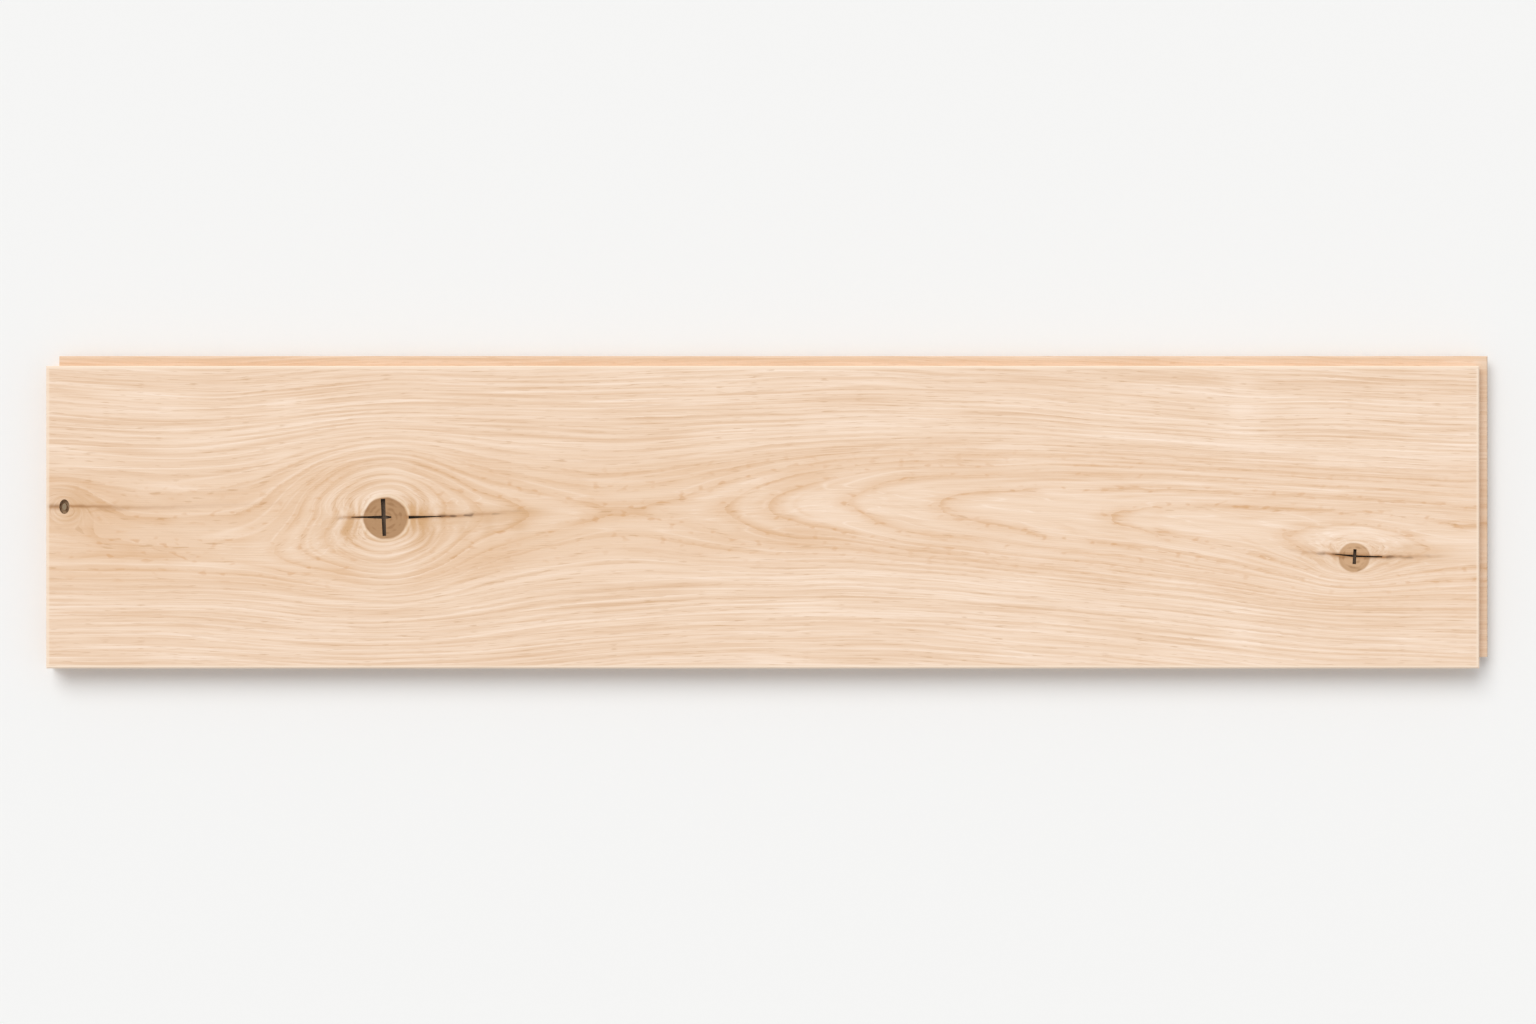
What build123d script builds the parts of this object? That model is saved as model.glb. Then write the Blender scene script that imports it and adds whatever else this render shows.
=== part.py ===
"""Solid oak floorboard, tongued and grooved on all four edges.

The board lies face up on its underside, in millimetres. +X runs along the grain from the grooved
end to the tongued end, +Y runs across the board to the tongued edge, and +Z is up. The origin is
on the underside, below the middle of the face that shows once a floor is laid.
"""

import os

from build123d import *

# Board: the face is measured from joint to joint
face_length = 900.0
face_width = 190.0
thickness = 20.0
face_bevel = 0.8

# Tongue, the same on the long edge and on the end
tongue_thickness = 6.0
tongue_reach = 6.5
tongue_height = 6.0  # from the underside to the tongue's lower side
tongue_nose = 1.2  # rounding of the tongue's two outer corners

# Groove, made to take that tongue
tongue_clearance = 0.2  # left free above, and below, a neighbour's tongue
groove_end_gap = 0.5  # left free beyond the tongue's nose
groove_lead_in = 0.6  # chamfer at the groove's mouth
lower_edge_setback = 0.5  # keeps the underside open when the face joint closes

# Relief kerfs along the underside
kerf_count = 6
kerf_pitch = 27.0
kerf_width = 4.0
kerf_depth = 2.5

# Knots on the face, from the end that each is nearer to, and across from the middle of the face
small_knot_from_groove_end = 11.5
small_knot_across = 6.6
main_knot_from_groove_end = 213.1
main_knot_across = -0.6
far_knot_from_tongue_end = 78.7
far_knot_across = -25.3

# The small knot is dead: a gap has opened round its core
dead_core_along, dead_core_across = 2.6, 4.0
dead_gap_along, dead_gap_across = 6.4, 9.2

# Drying checks: wedges, each given by its two ends. An end is a place along and across from the
# knot's middle, and the width of the check there
main_knot_checks = [
    ((-1.6, 12.2, 2.9), (-0.7, -11.2, 2.3)),
    ((-1.1, 0.6, 2.1), (-21.5, 0.6, 0.4)),
    ((-1.1, 0.6, 2.7), (3.7, 0.6, 0.9)),
    ((14.5, 0.5, 1.8), (35.0, 1.1, 0.4)),
]
far_knot_checks = [
    ((0.5, 5.2, 2.0), (0.0, -4.2, 2.2)),
    ((0.1, 0.9, 1.5), (-12.0, 2.0, 0.4)),
    ((0.1, 0.8, 1.2), (17.6, 0.4, 0.7)),
]
check_depth = 4.0

groove_depth = tongue_reach + groove_end_gap
groove_width = tongue_thickness + 2 * tongue_clearance
groove_height = tongue_height - tongue_clearance
groove_end_x = -face_length / 2
tongue_end_x = face_length / 2


def draw_milled_section(face_span):
    """Draws the board's section into the open sketch, with the groove at the left and the tongue at
    the right. The underside is at height 0 and the face spans face_span about the middle."""
    groove_side, tongue_side = -face_span / 2, face_span / 2
    Rectangle(face_span, thickness, align=(Align.CENTER, Align.MIN))
    with Locations((tongue_side, 0)):
        Rectangle(lower_edge_setback, tongue_height, align=(Align.MAX, Align.MIN), mode=Mode.SUBTRACT)
    with Locations((tongue_side, tongue_height)):
        Rectangle(tongue_reach, tongue_thickness, align=(Align.MIN, Align.MIN))
    fillet(vertices().group_by(Axis.X)[-1], tongue_nose)
    with Locations((groove_side, groove_height)):
        Rectangle(groove_depth, groove_width, align=(Align.MIN, Align.MIN), mode=Mode.SUBTRACT)
    with Locations((groove_side, 0)):
        Rectangle(lower_edge_setback, groove_height, align=(Align.MIN, Align.MIN), mode=Mode.SUBTRACT)
    groove_mouth = (groove_side, groove_height + groove_width / 2)
    chamfer(vertices().sort_by_distance(groove_mouth)[:2], groove_lead_in)


def draw_checks(knot_x, knot_y, checks):
    """Draws a knot's checks into the open sketch, each as a wedge."""
    for (start_along, start_across, start_width), (end_along, end_across, end_width) in checks:
        start = Vector(knot_x + start_along, knot_y + start_across)
        end = Vector(knot_x + end_along, knot_y + end_across)
        sideways = (end - start).normalized().rotate(Axis.Z, 90)
        Polygon(
            start + sideways * (start_width / 2),
            end + sideways * (end_width / 2),
            end - sideways * (end_width / 2),
            start - sideways * (start_width / 2),
        )


with BuildPart() as floorboard:
    # The long edges and the underside are moulded first, in one pass along the stock
    with BuildSketch(Plane.YZ.offset(groove_end_x)):
        draw_milled_section(face_width)
        with GridLocations(kerf_pitch, 0, kerf_count, 1):
            Rectangle(kerf_width, kerf_depth, align=(Align.CENTER, Align.MIN), mode=Mode.SUBTRACT)
    extrude(amount=face_length + tongue_reach)

    # The ends are then matched with the same section, cut across the full width
    with BuildSketch(Plane.XZ):
        draw_milled_section(face_length)
    extrude(amount=face_width / 2 + tongue_reach, both=True, mode=Mode.INTERSECT)

    chamfer(faces().sort_by(Axis.Z)[-1].edges(), face_bevel)

    # The checks have opened from the face downwards
    with BuildSketch(Plane.XY.offset(thickness)):
        draw_checks(groove_end_x + main_knot_from_groove_end, main_knot_across, main_knot_checks)
        draw_checks(tongue_end_x - far_knot_from_tongue_end, far_knot_across, far_knot_checks)
        with Locations((groove_end_x + small_knot_from_groove_end, small_knot_across)):
            Ellipse(dead_gap_along / 2, dead_gap_across / 2)
            Ellipse(dead_core_along / 2, dead_core_across / 2, mode=Mode.SUBTRACT)
    extrude(amount=-check_depth, mode=Mode.SUBTRACT)

floorboard.part.label = "floorboard"

os.makedirs("parts", exist_ok=True)
export_step(floorboard.part, "parts/floorboard.step")
print("floorboard volume in mm3:", round(floorboard.part.volume))
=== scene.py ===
# %% [markdown]
# # A bare oak floorboard
#
# The object is a floorboard of solid oak, planed and sanded, and not yet oiled. Its shape is settled
# before Blender opens. The frame brings in one solid with the tongues, the grooves, the relief kerfs and
# the open checks in the knots, so no piece is modelled again here. What is left to make is the wood
# itself: its rings, fibres, pores and knots, and the way each cut face shows them.

# %% Bring in the board
import math
from collections import namedtuple

import bpy
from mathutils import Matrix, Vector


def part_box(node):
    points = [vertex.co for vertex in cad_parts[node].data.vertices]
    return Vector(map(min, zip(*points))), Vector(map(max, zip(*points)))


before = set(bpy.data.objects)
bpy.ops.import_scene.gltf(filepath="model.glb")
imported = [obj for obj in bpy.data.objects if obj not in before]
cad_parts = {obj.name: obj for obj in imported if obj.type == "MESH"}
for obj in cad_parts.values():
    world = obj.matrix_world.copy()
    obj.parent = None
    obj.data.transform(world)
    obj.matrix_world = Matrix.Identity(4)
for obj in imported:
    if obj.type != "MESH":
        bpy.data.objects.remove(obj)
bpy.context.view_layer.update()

MM = 0.001  # one millimetre in Blender's metres
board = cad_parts["floorboard"]
board_low, board_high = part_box("floorboard")
face_height = board_high[2] / MM
print("The board runs from", [round(v, 4) for v in board_low], "to", [round(v, 4) for v in board_high])

# %% [markdown]
# ## Arithmetic with nodes
#
# Wood has no flat colour: each point shows where it lay in the tree. A picture of oak would smear down
# the edges, so here every point works out its own colour, as a sum made of Math nodes. Hundreds of nodes
# wired by hand would hide the sum, so a small class lets the cells below write it as plain arithmetic.
# Each +, -, *, / or ** then adds one Math node to the oak's node tree.

# %% The oak's node tree, and readings that can be added and multiplied
oak = bpy.data.materials.new("bare_oak")
oak.use_nodes = True
wiring = oak.node_tree
oak_shader = wiring.nodes["Principled BSDF"]


class Reading:
    """A number that is read at every point of the wood, carried by a node's output."""

    def __init__(self, socket):
        self.socket = socket

    def __add__(self, other):
        return reckon("ADD", self, other)

    def __sub__(self, other):
        return reckon("SUBTRACT", self, other)

    def __rsub__(self, other):
        return reckon("SUBTRACT", other, self)

    def __mul__(self, other):
        return reckon("MULTIPLY", self, other)

    def __truediv__(self, other):
        return reckon("DIVIDE", self, other)

    def __pow__(self, other):
        return reckon("POWER", self, other)

    __radd__ = __add__
    __rmul__ = __mul__


def feed(socket, value):
    """Links a reading to a socket, or sets the socket to a plain number or colour."""
    if isinstance(value, Reading):
        wiring.links.new(value.socket, socket)
    else:
        socket.default_value = value


def reckon(operation, *values):
    """One Math node."""
    node = wiring.nodes.new("ShaderNodeMath")
    node.operation = operation
    for socket, value in zip(node.inputs, values):
        feed(socket, value)
    return Reading(node.outputs["Value"])


print("Readings are ready in the node tree of", oak.name)

# %% [markdown]
# ## Steps, bells and noise
#
# A few shapes of reading come back in most cells below. A smooth step says where something begins or
# ends, and a bell says how near a point is to a line or a spot. Noise gives the wood what no formula can,
# no two stretches alike. Each is a few nodes, kept in a function so that it can be called by name.

# %% A smooth step, a bell, noise, and a share that never falls to nothing


def rise(reading, start, end):
    """A smooth step from 0 at start to 1 at end. With start above end it falls instead."""
    node = wiring.nodes.new("ShaderNodeMapRange")
    node.interpolation_type = "SMOOTHSTEP"
    feed(node.inputs["Value"], reading)
    feed(node.inputs["From Min"], start)
    feed(node.inputs["From Max"], end)
    return Reading(node.outputs["Result"])


def hump(distance, width):
    """A bell: 1 where the distance is 0, about 0.6 one width away, and nearly 0 three widths away."""
    return reckon("EXPONENT", distance * distance * (-0.5 / width**2))


def cloud(a, b, c=0.0, detail=0.0):
    """Soft noise about 0, mostly within 0.25 of it. It changes when a, b or c has moved by about 1."""
    place = wiring.nodes.new("ShaderNodeCombineXYZ")
    for socket, value in zip(place.inputs, (a, b, c)):
        feed(socket, value)
    noise = wiring.nodes.new("ShaderNodeTexNoise")
    feed(noise.inputs["Scale"], 1.0)
    feed(noise.inputs["Detail"], detail)
    wiring.links.new(place.outputs["Vector"], noise.inputs["Vector"])
    return Reading(noise.outputs["Fac"]) - 0.5


def at_least(least, share):
    """Lifts a share of 0 to 1, so that it runs from the least to 1."""
    return least + (1 - least) * share


print("A step, a bell, noise and a lifted share are ready")

# %% [markdown]
# ## Where a point lies
#
# Object coordinates are metres in the board's own frame, so a pattern built on them is solid: it runs
# through the wood and comes out on the face, the edges, the ends and the underside alike. Readings in
# millimetres are easier to think in. Fibres are never dead straight, so the reading across the board is
# bent by slow noise before the rings use it. Knots and stains have a place on the face, so the distance
# from such a spot is taken along and across only, and counted in lengths and widths of its own.

# %% Millimetres along, across and below the face
coordinates = wiring.nodes.new("ShaderNodeTexCoord")


def parts_of(vector):
    """The three numbers of a vector, as readings."""
    node = wiring.nodes.new("ShaderNodeSeparateXYZ")
    wiring.links.new(vector, node.inputs["Vector"])
    return [Reading(output) for output in node.outputs]


place_x, place_y, place_z = parts_of(coordinates.outputs["Object"])
along = place_x / MM
across = place_y / MM
below = face_height - place_z / MM
print("The face lies", round(face_height, 2), "mm above the underside")

# %% Distance from a spot, noise in blotches, and fibres that wave


def distance_from(spot_along, spot_across, length=1.0, width=1.0):
    """How far a point lies from a spot on the face, counted in that spot's lengths and widths."""
    moved = wiring.nodes.new("ShaderNodeVectorMath")
    moved.operation = "MULTIPLY_ADD"
    wiring.links.new(coordinates.outputs["Object"], moved.inputs[0])
    moved.inputs[1].default_value = (1 / (length * MM), 1 / (width * MM), 0)
    moved.inputs[2].default_value = (-spot_along / length, -spot_across / width, 0)
    distance = wiring.nodes.new("ShaderNodeVectorMath")
    distance.operation = "LENGTH"
    wiring.links.new(moved.outputs["Vector"], distance.inputs[0])
    return Reading(distance.outputs["Value"])


def blotches(length, width, detail=0.0):
    """Noise in blotches: so many millimetres long on the board, and wide across it and below the face."""
    return cloud(along / length, across / width, below / width, detail)


FIBRE_SWAY = 7.0  # times the noise, so nearly 2 mm to each side
wavy = across + FIBRE_SWAY * blotches(length=130, width=42, detail=1.0)
print("Fibres sway within a band of about", FIBRE_SWAY / 2, "mm")

# %% [markdown]
# ## The heart of the tree
#
# This board is sawn flat, as a slice below the heart of the log. Its rings are cones round the heart, and
# where the heart line comes nearer to the face or leaves it, each ring meets the face in a V: the
# cathedral figure. A formula would make every V alike, so three Float Curves are drawn instead: how deep
# the face lies below the heart, the heart's own bend to one side, and the slow drift of all the grain
# across the board. Their points were chosen so that each V points where the real one does.

# %% The heart line, drawn as three curves along the board
CURVE_REACH = 460.0  # the curves run this far each way from the middle of the board


def drawn_curve(points, low, high):
    """A Float Curve through given points: millimetres along the board, and the value there."""
    node = wiring.nodes.new("ShaderNodeFloatCurve")
    curve = node.mapping.curves[0]
    spots = [((x + CURVE_REACH) / (2 * CURVE_REACH), (v - low) / (high - low)) for x, v in points]
    curve.points[0].location = spots[0]
    curve.points[-1].location = spots[-1]
    for spot in spots[1:-1]:
        curve.points.new(*spot)
    node.mapping.update()
    feed(node.inputs["Value"], (along + CURVE_REACH) / (2 * CURVE_REACH))
    return Reading(node.outputs["Value"]) * (high - low) + low


heart_depth = drawn_curve(
    [(-460, 52.3), (-421, 53.6), (-385, 55.1), (-340, 57.8), (-309, 60.4), (-238, 62.5), (-190, 60.7),
     (-145, 57), (-87, 55.3), (-24, 50.2), (4, 46.3), (52, 40.4), (108, 32.2), (212, 24.6), (260, 21.5),
     (312, 19.5), (371, 18.2), (420, 19), (460, 19.8)],
    low=0, high=80,
)
heart_side = drawn_curve(
    [(-460, -17), (-385, -20), (-309, -20), (-238, 0), (-87, 0.5), (-24, -3), (4, -2), (52, 0.7),
     (212, 2), (280, 0), (330, -3), (371, -6), (420, -6), (460, -5)],
    low=-40, high=40,
)
grain_drift = drawn_curve(
    [(-460, 0), (-220, -2), (-153, 1), (-87, 3.5), (20, 8), (60, 8), (108, 6), (160, 3.6), (212, 0),
     (258, -3.4), (305, -7.2), (352, -9.8), (398, -11.8), (460, -13.5)],
    low=-40, high=40,
)
print("Heart line drawn with", sum(n.bl_idname == "ShaderNodeFloatCurve" for n in wiring.nodes), "curves")

# %% [markdown]
# ## Beside the heart and below it
#
# Two distances say which ring a point belongs to: how far it lies beside the heart, and how far below it.
# The drawn bend and depth shape the Vs, but near the long edges of a real board the grain runs nearly
# straight. So the bend dies out on both sides, and the drawn depth gives way to a steady one.

# %% Sideways and downwards from the heart
BEND_MIDDLE, BEND_FADE = -18.0, 24.0  # the bend dies out on both sides of this line
FELT_FULLY, FELT_NO_MORE = 12.0, 64.0  # how far beside the heart the drawn depth is felt
STEADY_DEPTH = 48.0  # the depth near the long edges
STEADY_SLOPE = 0.02  # what it loses with each millimetre along the board
END_LIFT = 10.0  # what it loses at the grooved end
LIFT_START, LIFT_END = -330.0, -470.0  # where that loss begins, and where it would be full

from_heart = wavy - grain_drift - heart_side * hump(across - BEND_MIDDLE, BEND_FADE)
beside_heart = reckon("ABSOLUTE", from_heart)
steady_depth = STEADY_DEPTH - STEADY_SLOPE * along - END_LIFT * rise(along, LIFT_START, LIFT_END)
felt = rise(beside_heart, FELT_NO_MORE, FELT_FULLY)
ring_depth = steady_depth + (heart_depth - steady_depth) * felt + below
print("The drawn depth is felt up to", FELT_NO_MORE, "mm beside the heart")

# %% [markdown]
# ## Knots pull the rings
#
# A knot is the root of a branch, and the tree laid its rings round it. So near a knot the ring reading
# dips, and its contours close into eyes. Each knot is a named row: its place, its radius, how hard it
# pulls and how far, how much longer its eye is than wide, how much the grain swells further out, how deep
# a cleft the checks leave in the eye, how clear the arcs in the eye are, and how pale its rim and how dark
# its wood is. Their places are those of the open checks in the solid. The steepness says how fast the
# reading climbs across the face, which the ring lines need.

# %% Three knots
Knot = namedtuple("Knot", "along across radius pull reach stretch swell cleft arcs rim darkness")
end_knot = Knot(-438.5, 6.6, 4.6, 26, 6.5, 1.3, swell=0, cleft=4, arcs=0.2, rim=0, darkness=0)
main_knot = Knot(-236.9, -0.6, 12.9, 50, 13, 1.2, swell=40, cleft=14, arcs=1, rim=0.42, darkness=0.8)
far_knot = Knot(371.3, -25.3, 9.2, 34, 9, 1.6, swell=4.5, cleft=4, arcs=0.45, rim=0.15, darkness=0.05)
knots = (end_knot, main_knot, far_knot)
print("Knots of", [knot.radius for knot in knots], "mm radius")

# %% The ring reading, and how the knots bend it
POINTEDNESS = 1.75  # 2 would round the tip of each V, and 1 would make its sides straight
LEAST_STEEPNESS = 0.26  # where the reading is flatter than this, in the turn of a V, the lines swell
EYE_STEEPNESS = 0.7  # how much of a knot's own slope counts, since along the eye there is less of it
WOBBLE = 9.0  # keeps an eye from being a perfect oval
CLEFT_LENGTH, CLEFT_WIDTH = 1.7, 0.45  # in radii of the knot
SWELL_REACH = 55.0  # this far out the swelling of the grain has died down to about a third
ARCS_BEGIN, ARCS_CLEAR = 0.03, 0.16  # shares of a knot's pull at which its arcs begin and are clear

shade = blotches(length=40, width=17, detail=1.0)
widened = beside_heart ** POINTEDNESS + ring_depth ** POINTEDNESS
ring_reach = widened ** (1 / POINTEDNESS)
steepness = reckon("MAXIMUM", (beside_heart / ring_reach) ** (POINTEDNESS - 1), LEAST_STEEPNESS)
knot_eye = clear_arcs = 0.0
for knot in knots:
    out = distance_from(knot.along, knot.across, length=knot.stretch) + WOBBLE * shade
    share = reckon("EXPONENT", out / -knot.reach)
    swelling = reckon("EXPONENT", distance_from(knot.along, knot.across) / -SWELL_REACH) * knot.swell
    cleft_size = (CLEFT_LENGTH * knot.radius, CLEFT_WIDTH * knot.radius)
    cleft = hump(distance_from(knot.along, knot.across, *cleft_size), 1.0) * knot.cleft
    ring_reach = ring_reach - share * knot.pull - swelling + cleft
    steepness = steepness + share * (EYE_STEEPNESS * knot.pull / knot.reach)
    knot_eye = knot_eye + share
    clear_arcs = clear_arcs + rise(share, ARCS_BEGIN, ARCS_CLEAR) * knot.arcs
print("Rings bend round", len(knots), "knots")

# %% [markdown]
# ## Growth rings
#
# Oak grows a band of open pores each spring and dense wood in summer, and on the face each year leaves a
# brown line. The ring reading is turned into a count of years: its whole part names the year and its
# fraction says how far through the year a point grew. Far from the heart the years are narrower. Noise
# bends the lines and frays them, though less where few years pass, as in the turn of a V. Divided by how
# fast years pass across the face, the fraction becomes a distance to the line, so every line keeps its
# width. A Wave Texture would give rings too, but all alike and without a count.

# %% Years, and the distance to the line that each one leaves
WIDE_RING = 8.0  # millimetres of the reading for a year near the heart
NARROW_FROM = 44.0  # past this reading the years get narrower
NARROW_STEP = 0.15  # more years for each millimetre of the reading, from there on
NARROWING = 0.0008  # and more again with each millimetre
RAGGEDNESS, FRAYING = 0.25, 0.32  # years by which the noise bends a line and frays it


def streaks(length, width, draw, reach=ring_reach, detail=0.0):
    """Noise in streaks that follow the rings: so many millimetres long, and wide across the reading."""
    return cloud(along / length, reach / width, draw, detail)


outer_reach = reckon("MAXIMUM", ring_reach - NARROW_FROM, 0.0)
outer_years = outer_reach * (NARROW_STEP + outer_reach * NARROWING)
ragged = streaks(length=17, width=2.4, draw=below / 6)
frayed = blotches(length=12, width=1.1)
crowded = at_least(0.2, rise(steepness, 0.3, 0.8))
years = ring_reach / WIDE_RING + outer_years + RAGGEDNESS * ragged + FRAYING * frayed * crowded

outer_rate = rise(outer_reach, 0, 1) * NARROW_STEP + outer_reach * (2 * NARROWING)
years_per_mm = (1 / WIDE_RING + outer_rate) * steepness
year_share = reckon("FRACT", years)
to_line = (1 - year_share) / years_per_mm
mid_year = reckon("ABSOLUTE", year_share - 0.5)
off_line = (0.5 - mid_year) / years_per_mm
print("A year near the heart is", WIDE_RING, "mm wide")

# %% [markdown]
# ## Ring lines
#
# Far from the heart the lines are thin, and white noise on the year makes some strong and some faint. Near
# the heart they are soft, orange and broken into dashes, and they swell where a V turns. A thin false line
# runs between some of them. In the eye of a knot they would drown its arcs, so they are fainter there.

# %% Thin lines far from the heart
FAINTEST_YEAR = 0.25  # how strong the line of the faintest year is
THIN_LINE, LINE_CORE = 2.6, 0.2  # a thin line fades out over the first, and is full within the second
LINE_DRAW = 2.0  # picks which stretches of the lines are strong

year_noise = wiring.nodes.new("ShaderNodeTexWhiteNoise")
year_noise.noise_dimensions = "1D"
feed(year_noise.inputs["W"], reckon("FLOOR", years))
year_strength = at_least(FAINTEST_YEAR, Reading(year_noise.outputs["Value"]))

patchy = streaks(length=48, width=5, draw=below / 20 + LINE_DRAW)
broken = patchy + shade
outer_line = rise(to_line, THIN_LINE, LINE_CORE) * year_strength * rise(broken, -0.35, 0.25)
print("The faintest year keeps", FAINTEST_YEAR, "of its line")

# %% Soft lines near the heart
HEART_LINE, HEART_SPECK, FALSE_LINE = 2.8, 1.9, 0.9  # widths of their bells
SPRING_WOOD, SPRING_WIDTH = 0.35, 9.0  # how strong and how wide the tan beside a heart line is
LOST_IN_EYE = 0.65  # share of a heart line that an eye takes away

near_heart = rise(ring_reach, 68, 52)
near_turn = rise(beside_heart, 66, 12)
beside_main_knot = rise(reckon("ABSOLUTE", along - main_knot.along), 6, 26)
in_eye = rise(knot_eye, 0.02, 0.25)
# Weaker away from the turns, above and below the main knot, in the eyes and next to the heart
heart_share = near_heart * at_least(0.15, near_turn) * at_least(0.3, beside_main_knot)
heart_share = heart_share * (1 - LOST_IN_EYE * in_eye) * at_least(0.8, rise(ring_reach, 14, 22))

spring_wood = SPRING_WOOD * rise(to_line, SPRING_WIDTH, 0)
dashes = at_least(0.45, rise(broken, -0.3, 0.2))
heart_line = (hump(off_line, HEART_LINE) + spring_wood) * heart_share * dashes
specks = blotches(length=6, width=2.6)
heart_specks = hump(off_line, HEART_SPECK) * heart_share * near_turn * rise(specks, 0.1, 0.28)
false_line = hump(mid_year / years_per_mm, FALSE_LINE) * heart_share * rise(patchy - shade, 0.0, 0.3)
print("A heart line is about", 2 * HEART_LINE, "mm wide")

# %% [markdown]
# ## Fibres and pores
#
# Between the ring lines the wood is full of streaks, some paler and some darker, which follow the rings.
# Noise that is stretched along the board and squeezed across the ring reading gives such streaks, and
# three sizes of it look like fibres at any distance. Both halves of a ring have the same reading, so a
# third coordinate keeps one half from mirroring the other. In the eye of a knot the reading climbs much
# faster, so the arcs there get a slower noise. The pores are short dashes, cut open by the plane, and
# most of them lie beside a ring line.

# %% Streaks in three sizes, arcs in the eyes, pale threads and pore dashes
HALVES_APART = 9.0  # the two halves of a ring read the noise this far apart
HALVES_MEET = 14.0  # and blend within this many millimetres of the heart
FIBRE_SPREAD = 0.5  # keeps fine fibres fine where the ring reading is flat
THREAD = 0.014  # a pale thread lies where its noise comes this near to 0
MIDDLE_DRAW, THREAD_DRAW, ARC_DRAW = 20, 40, 60  # other places in the noise, so that no two look alike

half = HALVES_APART * rise(from_heart, -HALVES_MEET, HALVES_MEET)
fibre_reach = ring_reach + FIBRE_SPREAD * beside_heart
broad_streak = streaks(length=260, width=9, draw=half)
middle_streak = streaks(length=110, width=1.8, draw=half + MIDDLE_DRAW) * crowded
fine_streak = streaks(length=42, width=0.95, draw=half + below / 3, reach=fibre_reach, detail=1.0) * crowded

eye_arc = streaks(length=40, width=3.2, draw=across / 28 + ARC_DRAW) * clear_arcs
pale_thread = hump(streaks(length=300, width=4.2, draw=half + THREAD_DRAW), THREAD)

pore_noise = streaks(length=11, width=0.9, draw=half + below / 0.9, reach=fibre_reach)
pore_dash = rise(pore_noise, 0.17, 0.28) * at_least(0.2, rise(to_line, 5, 1))
print("Streaks and pores follow the rings, with", len(wiring.nodes), "nodes so far")

# %% [markdown]
# ## The knots' own wood
#
# A live knot is a disc of darker wood with rings of its own, and a pale rim where branch and trunk grew
# together. The distance from the knot's middle drives all of these, with a little noise so that no circle
# is a perfect one. The small knot at the end is dead, and its grey core stands in an open gap.

# %% Discs, edges, rims and the dead core
ROUNDNESS = 1.06  # a disc is a little longer than wide
DISC_WOBBLE = 1.4  # times the noise, so that no disc is perfect
DISC_BLUR = 0.6  # half of a disc's soft edge
EDGE_INSIDE, EDGE_WIDTH = 1.1, 0.8  # from the radius inwards
RIM_OUTSIDE, RIM_WIDTH = 1.2, 0.5  # from the radius outwards
BRANCH_RING = 2.9  # a year of the branch
CORE_SHAPE = 0.65  # the dead core is narrower than tall

knot_noise = blotches(length=7, width=7, detail=1.0)
knot_disc = knot_dark = knot_edge = knot_rim = branch_rings = 0.0
for knot in (main_knot, far_knot):
    out = distance_from(knot.along, knot.across, length=ROUNDNESS) + DISC_WOBBLE * knot_noise
    disc = rise(out, knot.radius + DISC_BLUR, knot.radius - DISC_BLUR)
    edge = hump(out - (knot.radius - EDGE_INSIDE), EDGE_WIDTH)
    rim = hump(out - (knot.radius + RIM_OUTSIDE), RIM_WIDTH)
    knot_disc = knot_disc + disc
    knot_dark = knot_dark + disc * knot.darkness
    knot_edge = knot_edge + edge * (0.45 + 0.6 * knot.darkness)
    knot_rim = knot_rim + rim * knot.rim
    branch_rings = branch_rings + reckon("SINE", out * (2 * math.pi / BRANCH_RING)) * disc
mottling = rise(knot_noise + 0.5 * specks + 0.1 * branch_rings, 0.0, 0.3)

from_dead_core = distance_from(end_knot.along, end_knot.across, length=CORE_SHAPE)
dead_core = rise(from_dead_core, 2.6, 1.6)
print("A year of the branch is", BRANCH_RING, "mm wide")

# %% [markdown]
# ## Tan patches
#
# Round a knot sap has darkened the wood, most of all along the checks. Painting such patches by hand would
# need an image. A list of soft ovals does the same with numbers, one to a row: where it lies, how long and
# wide it is, and how strong.

# %% Tan patches where sap has darkened the wood
Patch = namedtuple("Patch", "along across length width strength")
patches = (
    Patch(-431, 7, 8, 8, 0.6),
    Patch(-437, 1, 5, 6, 0.25),
    Patch(-408, 6.5, 20, 2.0, 0.45),
    Patch(-263, -5, 9, 6, 0.6),
    Patch(-217, 0, 8, 10, 0.75),
    Patch(-195, 0, 30, 4, 0.45),
    Patch(-188, -9, 3, 4, 0.35),
    Patch(-172, -6, 3, 5, 0.4),
    Patch(-153, -6, 4, 4, 0.4),
    Patch(-160, 3, 14, 3, 0.4),
    Patch(-148, 3.5, 8, 1.6, 0.4),
    Patch(-237, 0, 30, 22, 0.15),
    Patch(-90, 0, 70, 60, 0.08),
    Patch(390, -25, 36, 4, 0.5),
    Patch(406, -18.6, 4, 1.5, 0.4),
)
tan_patch = 0.0
for patch in patches:
    out = distance_from(patch.along, patch.across, patch.length, patch.width)
    tan_patch = tan_patch + hump(out, 1.0) * patch.strength
print(len(patches), "tan patches")

# %% [markdown]
# ## Checks and their stain
#
# Broken brown lines run on from them along the grain. These are only stain, with no depth of their own.
# Each is a row with its start, its end and its width, and it fades towards its end.

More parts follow.
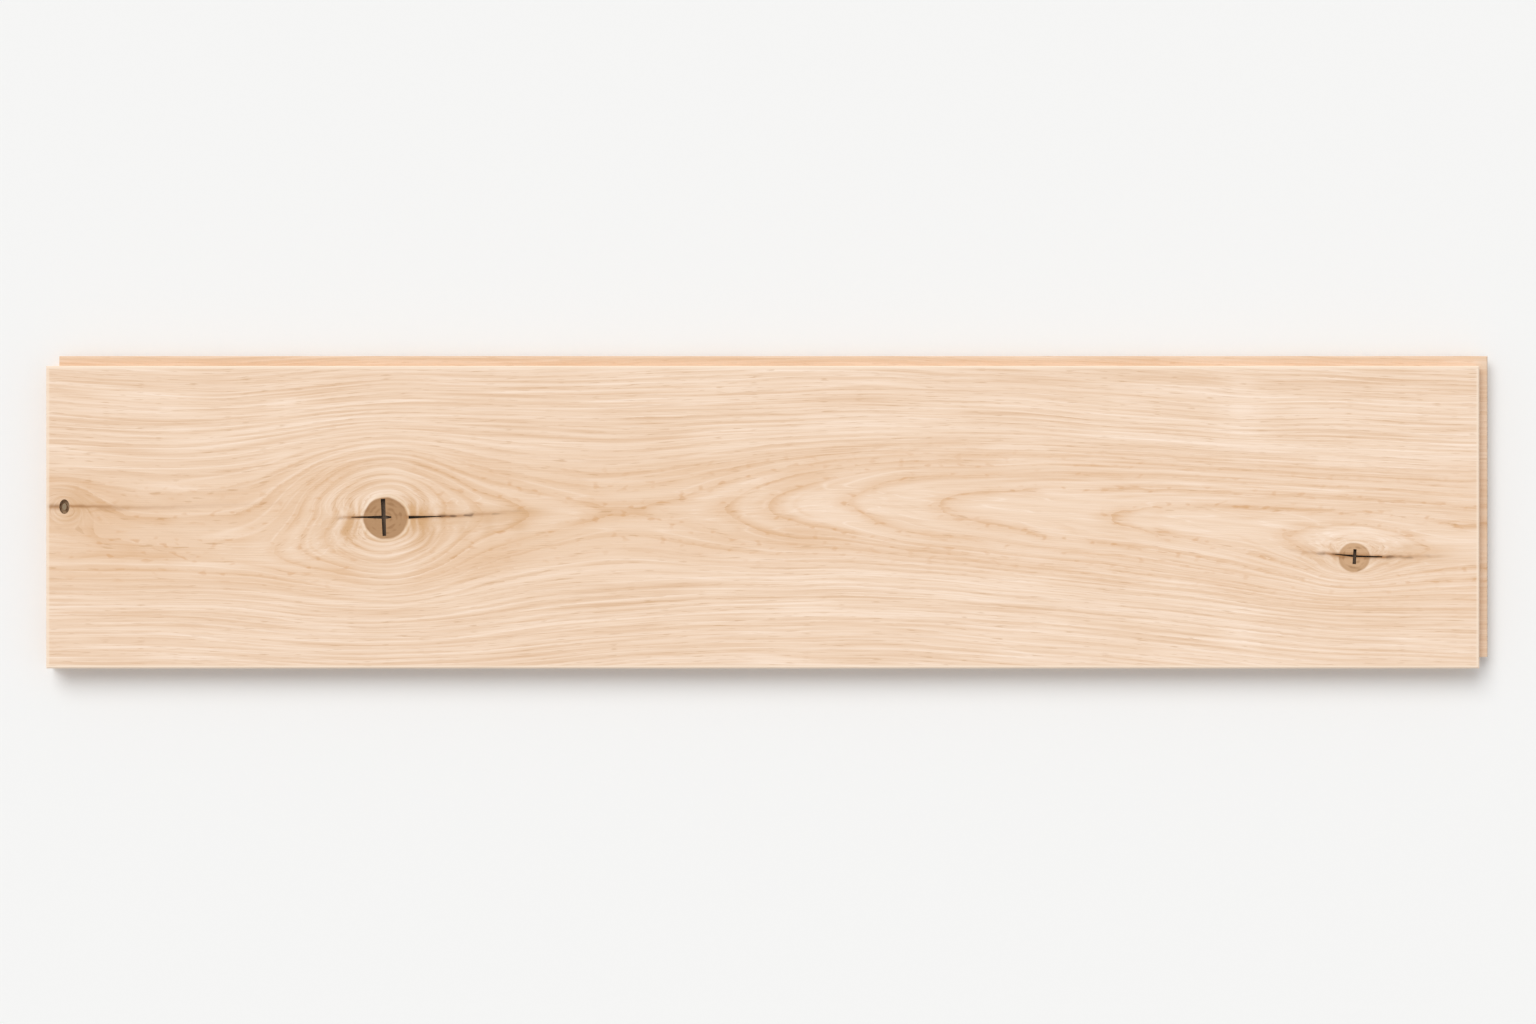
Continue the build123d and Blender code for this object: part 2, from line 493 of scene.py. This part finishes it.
# %% Stained lines that run on from the checks
STAIN_BEGINNING = 5.0  # a line comes up within this many millimetres before its start
STAIN_WANDER = 1.6  # times the noise, so that no line is straight
Stain = namedtuple("Stain", "start end across_start across_end width strength darkness")
stains = (
    Stain(-434, -390, 6.9, 6.6, 0.7, 1.1, darkness=0.1),
    Stain(-415, -270, 5.4, 9.5, 0.9, 0.4, darkness=0.0),
    Stain(-441, -462, 6.6, 6.6, 1.3, 1.1, darkness=0.25),
    Stain(-222, -182, 0.0, 1.1, 0.9, 1.2, darkness=0.2),
    Stain(-201, -140, 0.5, 4.2, 0.7, 0.9, darkness=1.0),
    Stain(-253, -272, 0.0, -0.3, 0.8, 1.4, darkness=0.8),
    Stain(370, 346, -24.2, -22.7, 1.1, 1.2, darkness=0.4),
    Stain(361, 322, -23.4, -20.4, 0.7, 0.7, darkness=0.5),
    Stain(373, 400, -24.6, -24.9, 1.0, 1.3, darkness=0.4),
    Stain(387, 438, -24.9, -24.4, 0.8, 0.9, darkness=0.7),
)
stain_line = stain_dark = 0.0
for stain in stains:
    progress = rise(along, stain.start, stain.end)
    middle = stain.across_start + progress * (stain.across_end - stain.across_start)
    beginning = stain.start - math.copysign(STAIN_BEGINNING, stain.end - stain.start)
    begun = rise(along, beginning, stain.start)
    aside = across - middle + STAIN_WANDER * knot_noise
    line = hump(aside, stain.width) * (1 - progress) * begun * stain.strength
    stain_line = stain_line + line
    stain_dark = stain_dark + line * stain.darkness
stain_dark = stain_dark * rise(blotches(length=6, width=3), 0.0, 0.2)
print(len(stains), "stained lines")

# %% Painted shade on the walls of the checks
CHECK_DEPTH = 4.0  # as deep as the checks in the solid
WALLS_STRETCH = 2.0  # the checks lie within an oval twice as long as wide
WALLS_REACH = 7.0  # and this far beyond the knot's radius

near_dead_core = rise(from_dead_core, 7, 6)
near_knots = near_dead_core
for knot in (main_knot, far_knot):
    out = distance_from(knot.along, knot.across, length=WALLS_STRETCH)
    near_knots = near_knots + rise(out, knot.radius + WALLS_REACH, knot.radius + WALLS_REACH - 1)
# The walls of the checks are painted dark as shade, down to the depth of the checks
painted_check_shade = rise(below, 0.05, 0.35) * rise(below, CHECK_DEPTH + 1, CHECK_DEPTH + 0.5) * near_knots
print("Check walls are dark down to", CHECK_DEPTH, "mm")

# %% [markdown]
# ## Cut faces
#
# The face is sanded, but the edges and the underside are left as the moulding cutter leaves them, a shade
# duller. The ends are cut across the fibres. End grain shows the rings as arcs and its open pores as dots,
# and it looks darker still, because light sinks into it. The surface normal tells those faces from the
# rest. Along the bevelled top corners a narrow pale strip is painted in as a highlight.

# %% Moulded faces, end grain and a painted highlight on the bevelled corners of the face
moulded = rise(below, 1.0, 1.4)
facing_x = parts_of(coordinates.outputs["Normal"])[0]
end_grain = rise(reckon("ABSOLUTE", facing_x), 0.55, 0.8)
END_PORE = 0.9  # millimetres across
end_pores = rise(cloud(across / END_PORE, below / END_PORE), 0.08, 0.2) * end_grain

half_length = -board_low[0] / MM
half_width = -board_low[1] / MM
to_end = half_length - reckon("ABSOLUTE", along)
to_side = half_width - reckon("ABSOLUTE", across)
# A narrow pale strip along the bevelled top corners, painted in as a highlight
painted_edge_highlight = rise(reckon("MINIMUM", to_end, to_side), 2.6, 1.2) * rise(below, 1.6, 0.9)
print("The face measures", round(2 * half_length, 1), "by", round(2 * half_width, 1), "mm")

# %% [markdown]
# ## Colour
#
# All the readings now add up. The streaks slide one tone between a duller and a paler oak, and a Color
# Ramp turns the tone into colour. Then the ring lines, tan patches, knots and checks are laid over it in
# turn, as a painter glazes: each is a row with a colour and how strongly it covers. Colours are written as
# they look on a screen, from 0 to 255, and are turned into the linear values that shaders use.

# %% Tone and ramp


def screen_colour(red, green, blue):
    """A screen colour, 0 to 255, as linear red, green, blue and alpha."""
    shares = [value / 255 for value in (red, green, blue)]
    linear = [s / 12.92 if s <= 0.04045 else ((s + 0.055) / 1.055) ** 2.4 for s in shares]
    return (*linear, 1.0)


PALER_ALONG = 0.00012  # the board gets a little paler from the grooved end to the other
tone = 0.5 + 0.38 * broad_streak + 0.7 * middle_streak + 0.75 * fine_streak
tone = tone + 0.25 * pale_thread + 1.4 * eye_arc + along * PALER_ALONG

ramp = wiring.nodes.new("ShaderNodeValToRGB")
ramp_stops = [(0.0, (222, 183, 147)), (0.5, (242, 214, 188)), (1.0, (254, 233, 214))]
ramp.color_ramp.elements[0].position = ramp_stops[0][0]
ramp.color_ramp.elements[1].position = ramp_stops[-1][0]
for position, _ in ramp_stops[1:-1]:
    ramp.color_ramp.elements.new(position)
for element, (_, colour) in zip(ramp.color_ramp.elements, ramp_stops):
    element.color = screen_colour(*colour)
feed(ramp.inputs["Fac"], tone)
print("The oak runs from", ramp_stops[0][1], "to", ramp_stops[-1][1])

Glaze = namedtuple("Glaze", "name colour amount")
glazes = (
    Glaze("heartwood", (226, 188, 146), near_heart * rise(along, 60, -120) * 0.08),
    Glaze("outer ring lines", (214, 173, 134), 0.45 * outer_line),
    Glaze("heart lines", (217, 166, 113), 0.3 * heart_line + 0.2 * false_line),
    Glaze("heart specks", (208, 152, 95), 0.42 * heart_specks),
    Glaze("tan patches", (212, 168, 122), tan_patch * (0.75 - 1.4 * eye_arc)),
    Glaze("pores", (198, 154, 108), 0.45 * pore_dash),
    Glaze("knot wood", (208, 168, 129), knot_disc),
    Glaze("dark knot wood", (172, 130, 89), knot_dark),
    Glaze("knot mottling", (148, 106, 66), 0.6 * knot_disc * mottling),
    Glaze("knot edges", (158, 114, 74), 0.45 * knot_edge * rise(shade, -0.15, 0.1)),
    Glaze("knot rims", (252, 233, 208), knot_rim),
    Glaze("stained lines", (172, 121, 74), 0.75 * stain_line),
    Glaze("dark stain", (84, 60, 42), 0.8 * stain_dark),
    Glaze("dead core", (138, 120, 94), dead_core),
    Glaze("moulded faces", (214, 174, 134), 0.35 * moulded),
    Glaze("end grain", (206, 163, 120), 0.4 * end_grain),
    Glaze("end pores", (150, 108, 72), 0.6 * end_pores),
    # Painted highlight along the bevelled top corners of the face
    Glaze("eased corners", (249, 228, 206), 0.7 * painted_edge_highlight),
    # Painted shade on the walls of the checks, paler round the dead core
    Glaze("check walls", (106, 86, 68), painted_check_shade),
    Glaze("walls round the dead core", (182, 153, 120), painted_check_shade * near_dead_core),
)
wood = ramp.outputs["Color"]
for glaze in glazes:
    mix = wiring.nodes.new("ShaderNodeMix")
    mix.label = glaze.name
    mix.data_type = "RGBA"
    feed(mix.inputs["Factor"], glaze.amount)
    feed(mix.inputs["B"], screen_colour(*glaze.colour))
    wiring.links.new(wood, mix.inputs["A"])
    wood = mix.outputs["Result"]
wiring.links.new(wood, oak_shader.inputs["Base Color"])
print("Oak has", len(glazes), "glazes and", len(wiring.nodes), "nodes")

# %% [markdown]
# ## Gloss and relief
#
# Bare sanded oak is matt. The pores and the softer spring wood scatter more light, so the roughness
# follows the same readings. A bump reads its height three times over, so the faint relief of the fibres
# is one cheap noise of its own. On the moulded faces the cutter has left fine ripples, square to the cut.

# %% Roughness and bump
SANDED_ROUGHNESS = 0.62
CUTTER_PITCH = 2.4  # millimetres between two ripples
RIPPLE_HEIGHT = 0.08  # as a share of the relief
RELIEF = 0.3 * MM
feed(oak_shader.inputs["Roughness"], SANDED_ROUGHNESS + 0.15 * outer_line + 0.3 * fine_streak)
feed(oak_shader.inputs["Specular IOR Level"], 0.35)
ripples = reckon("SINE", along * (2 * math.pi / CUTTER_PITCH)) * moulded
bump = wiring.nodes.new("ShaderNodeBump")
feed(bump.inputs["Strength"], 0.3)
feed(bump.inputs["Distance"], RELIEF)
feed(bump.inputs["Height"], blotches(length=25, width=0.6) + RIPPLE_HEIGHT * ripples)
wiring.links.new(bump.outputs["Normal"], oak_shader.inputs["Normal"])
board.material_slots[0].material = oak
print("The board wears", board.material_slots[0].material.name)

# %% [markdown]
# ## Floor and light
#
# The board lies on a pale floor. An even white sky gives about half of the light, and a sun with a very
# wide disc the rest. Together they add up to 1, so a colour on the face renders about as it is written,
# and the soft sun still turns the edges and lays a shadow. A sky that dim would look grey behind the
# floor. Light Path tells rays that look from rays that light, so what is seen can be as pale as the floor.

# %% A pale floor
FLOOR_SIZE = 12.0  # metres
bpy.ops.mesh.primitive_plane_add(size=FLOOR_SIZE)
floor = bpy.context.object
floor.name = "studio_floor"
floor_paint = bpy.data.materials.new("pale_floor")
floor_paint.use_nodes = True
floor_shader = floor_paint.node_tree.nodes["Principled BSDF"]
floor_shader.inputs["Base Color"].default_value = screen_colour(245, 245, 244)
floor_shader.inputs["Roughness"].default_value = 0.9
floor.data.materials.append(floor_paint)
print("A floor of", floor.dimensions[0], "m")

# %% An even sky
SKY_LIGHT = 0.55  # the sky's share of the light
SEEN_SKY = 0.94  # how bright it looks
sky = bpy.data.worlds.new("even_sky")
sky.use_nodes = True
sky_nodes = sky.node_tree.nodes
sky_links = sky.node_tree.links
sky_nodes["Background"].inputs["Color"].default_value = (1, 1, 1, 1)
light_path = sky_nodes.new("ShaderNodeLightPath")
looking = light_path.outputs["Is Camera Ray"]
for other_ray in ("Is Glossy Ray", "Is Transmission Ray"):
    either = sky_nodes.new("ShaderNodeMath")
    either.operation = "MAXIMUM"
    sky_links.new(looking, either.inputs[0])
    sky_links.new(light_path.outputs[other_ray], either.inputs[1])
    looking = either.outputs["Value"]
sky_strength = sky_nodes.new("ShaderNodeMapRange")
sky_strength.inputs["To Min"].default_value = SKY_LIGHT
sky_strength.inputs["To Max"].default_value = SEEN_SKY
sky_links.new(looking, sky_strength.inputs["Value"])
sky_links.new(sky_strength.outputs["Result"], sky_nodes["Background"].inputs["Strength"])
bpy.context.scene.world = sky
print("The sky lights at", SKY_LIGHT, "and looks like", SEEN_SKY)

# %% One soft sun
SUN_TILT, SUN_TURN = 36.0, 30.0  # degrees from straight down, and round the upright
SUN_DISC = 40.0  # degrees that the sun takes up in the sky, for a soft shadow
sun = bpy.data.lights.new("soft_sun", "SUN")
sun.energy = (1 - SKY_LIGHT) * math.pi / math.cos(math.radians(SUN_TILT))
sun.angle = math.radians(SUN_DISC)
sun_holder = bpy.data.objects.new("soft_sun", sun)
sun_holder.rotation_euler = (math.radians(-SUN_TILT), 0, math.radians(SUN_TURN))
bpy.context.scene.collection.objects.link(sun_holder)
bpy.context.scene.view_settings.view_transform = "Standard"
print("A sun of", round(sun.energy, 2), "W per square metre")

# %% [markdown]
# ## Camera
#
# The board is looked at straight from above. A wide lens close by would show its far edges smaller, so a
# long lens far away keeps them parallel. The distance is worked out so that the board fills most of the
# picture's width.

# %% A camera that looks straight down
LENS, SENSOR = 100.0, 36.0
FILLED = 0.94  # share of the picture's width that the board takes
board_length = board_high[0] - board_low[0]
camera_data = bpy.data.cameras.new("overhead_camera")
camera_data.lens = LENS
camera_data.sensor_width = SENSOR
camera = bpy.data.objects.new("overhead_camera", camera_data)
camera_distance = board_length / FILLED * LENS / SENSOR
camera.location = (
    (board_low[0] + board_high[0]) / 2,
    (board_low[1] + board_high[1]) / 2,
    board_high[2] + camera_distance,
)
bpy.context.scene.collection.objects.link(camera)
bpy.context.scene.camera = camera
print("Camera", round(camera_distance, 3), "m above the face")
